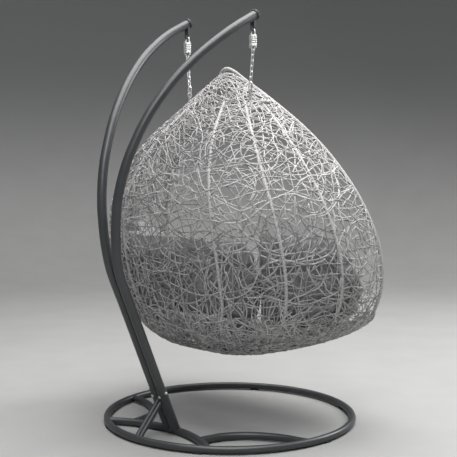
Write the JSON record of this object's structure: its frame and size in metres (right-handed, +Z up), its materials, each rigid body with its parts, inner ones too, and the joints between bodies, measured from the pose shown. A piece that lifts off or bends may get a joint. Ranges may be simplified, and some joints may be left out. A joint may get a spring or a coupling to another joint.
{
  "type": "hanging egg chair",
  "caption": "Two-seat hanging egg chair: open-weave basket with cushions, hung by springs and chains from a curved twin-arm stand on a ground ring.",
  "frame": {"origin": "centre of the ground ring, on the floor under the foot pads", "axes": "+Z up, the mouth of the basket faces -Y, the post stands at +Y, +X is the sitter's left"},
  "size_m": [1.436, 1.4022, 1.9758],
  "materials": {
    "graphite_powder_coat": "satin",
    "zinc_steel": "satin",
    "black_plastic": "satin",
    "black_rubber": "matte",
    "grey_rattan": "satin",
    "grey_fabric": "matte"
  },
  "bodies": {
    "stand": {"base_ring": "graphite_powder_coat", "post_arc": "graphite_powder_coat", "side_arc_left": "graphite_powder_coat", "side_arc_right": "graphite_powder_coat", "foot_pads": "black_rubber", "socket_tube_left": "graphite_powder_coat", "socket_tube_right": "graphite_powder_coat", "arm_tube_left": "graphite_powder_coat", "arm_tube_right": "graphite_powder_coat", "rear_brace_left": "graphite_powder_coat", "rear_brace_right": "graphite_powder_coat", "rear_bolts": "zinc_steel", "cross_bolt": "zinc_steel", "cap_nut": "zinc_steel", "end_cap_left": "black_plastic", "end_cap_right": "black_plastic", "hook_left": "graphite_powder_coat", "hook_right": "graphite_powder_coat"},
    "spring_tops": {"spring_upper_loop_left": "zinc_steel", "spring_upper_loop_right": "zinc_steel", "spring_coil_left": "zinc_steel", "spring_coil_right": "zinc_steel"},
    "spring_bottoms": {"spring_lower_loop_left": "zinc_steel", "spring_lower_loop_right": "zinc_steel"},
    "chain_left": {"chain_left": "zinc_steel"},
    "chain_right": {"chain_right": "zinc_steel"},
    "quick_links": {"quick_link_left": "zinc_steel", "quick_link_right": "zinc_steel"},
    "basket": {"mouth_rim": "grey_rattan", "rib_1": "grey_rattan", "rib_2": "grey_rattan", "rib_3": "grey_rattan", "rib_4": "grey_rattan", "rib_5": "grey_rattan", "rib_6": "grey_rattan", "base_hoop": "grey_rattan", "top_hoop": "grey_rattan", "hanger_bar": "graphite_powder_coat", "woven_hood": "grey_rattan", "woven_bowl": "grey_rattan", "seat_cushion": "grey_fabric", "back_cushion_left": "grey_fabric", "back_cushion_centre": "grey_fabric", "back_cushion_right": "grey_fabric"}
  },
  "joints": [
    {"name": "swing", "type": "hinge", "parent": "stand", "child": "spring_tops", "pos_m": [0, 0.074, 1.882], "axis": [1, 0, 0], "range_deg": [-20, 7]},
    {"name": "bounce", "type": "slide", "parent": "spring_tops", "child": "spring_bottoms", "axis": [0, 0, 1], "range_m": [-0.016, 0.004], "stiffness_N_per_m": 40000, "springref_m": 0.01839, "deforming": ["spring_coil_left", "spring_coil_right"]},
    {"name": "sway", "type": "hinge", "parent": "spring_bottoms", "child": "chain_left", "pos_m": [0.218, 0.074, 1.786], "axis": [0, 1, 0], "range_deg": [-8, 8]},
    {"name": "sway_right", "type": "hinge", "parent": "spring_bottoms", "child": "chain_right", "pos_m": [-0.218, 0.074, 1.786], "axis": [0, 1, 0], "range_deg": [-8.1, 8.1]},
    {"name": "level", "type": "hinge", "parent": "chain_left", "child": "quick_links", "pos_m": [0.203, 0.074, 1.636], "axis": [0, 1, 0], "range_deg": [-8.7, 8.7]},
    {"name": "tilt", "type": "hinge", "parent": "quick_links", "child": "basket", "pos_m": [0, 0.074, 1.6], "axis": [1, 0, 0], "range_deg": [-4, 3]}
  ],
  "couplings": [
    {"joint": "sway_right", "follows": "sway", "ratio": 1},
    {"joint": "level", "follows": "sway", "ratio": -1.0739}
  ]
}
